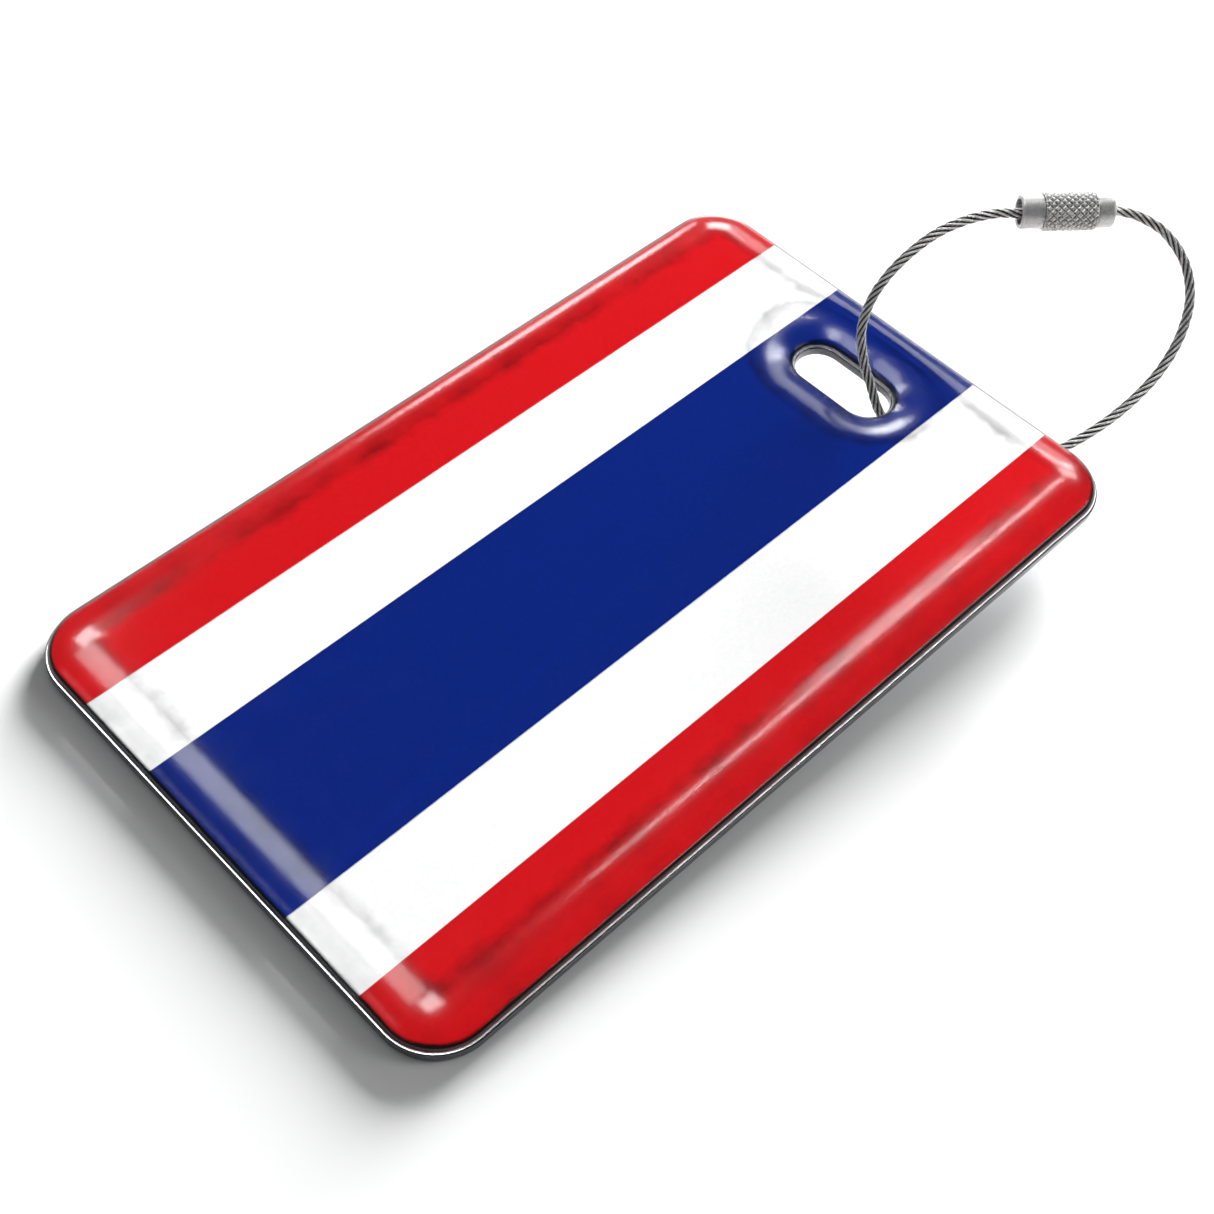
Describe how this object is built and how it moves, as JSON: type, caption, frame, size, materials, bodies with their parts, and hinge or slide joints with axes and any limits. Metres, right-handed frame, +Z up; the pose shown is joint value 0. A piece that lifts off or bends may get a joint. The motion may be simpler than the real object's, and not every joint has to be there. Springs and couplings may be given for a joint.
{
  "type": "luggage tag",
  "caption": "Card-sized luggage tag with a resin-domed striped face, hung on a wire-rope loop closed by a knurled screw clasp.",
  "frame": {"origin": "middle of the tag in plan, on the table that it lies on", "axes": "+X along the tag towards its slotted end, +Y across it, +Z up out of its printed face; the tag itself is raised 2.6 degrees at the slotted end, where the wire runs under it"},
  "size_m": [0.1018, 0.054, 0.0237],
  "materials": {
    "plate_metal": "satin with bright cut edges",
    "adhesive": "matte",
    "white_sheet": "satin vinyl",
    "red_ink": "flat print under clear resin",
    "blue_ink": "flat print under clear resin",
    "clear_resin": "clear, high gloss",
    "label_film": "matte, takes a pen",
    "dark_ink": "matte print",
    "stainless_wire": "bright drawn wire",
    "stainless_turned": "satin turned"
  },
  "bodies": {
    "tag": {"plate": "plate_metal", "print_adhesive": "adhesive", "printed_sheet": "white_sheet", "red_band_far": "red_ink", "blue_band": "blue_ink", "red_band_near": "red_ink", "resin_dome": "clear_resin", "label_adhesive": "adhesive", "write_on_label": "label_film", "label_rules": "dark_ink"},
    "loop": {"wire_rope": "stainless_wire", "threaded_stud": "stainless_turned"},
    "clasp_carriage": {"stop_ferrule": "stainless_turned"},
    "clasp_barrel": {"barrel": "stainless_turned"}
  },
  "joints": [
    {"name": "loop_swing", "type": "hinge", "parent": "tag", "child": "loop", "pos_m": [0.03503, -0.0031, 0.00436], "axis": [-0.5145, 0.8572, -0.0233], "range_deg": [-70, 0]},
    {"name": "clasp_advance", "type": "slide", "parent": "loop", "child": "clasp_carriage", "axis": [-0.7463, 0.6628, -0.0607], "range_m": [0, 0.00275]},
    {"name": "barrel_turn", "type": "hinge", "parent": "clasp_carriage", "child": "clasp_barrel", "pos_m": [0.04886, -0.00501, 0.02138], "axis": [-0.7463, 0.6628, -0.0607], "range_deg": [0, 1980.5]}
  ],
  "couplings": [
    {"joint": "barrel_turn", "follows": "clasp_advance", "rad_per_m": 12566}
  ]
}
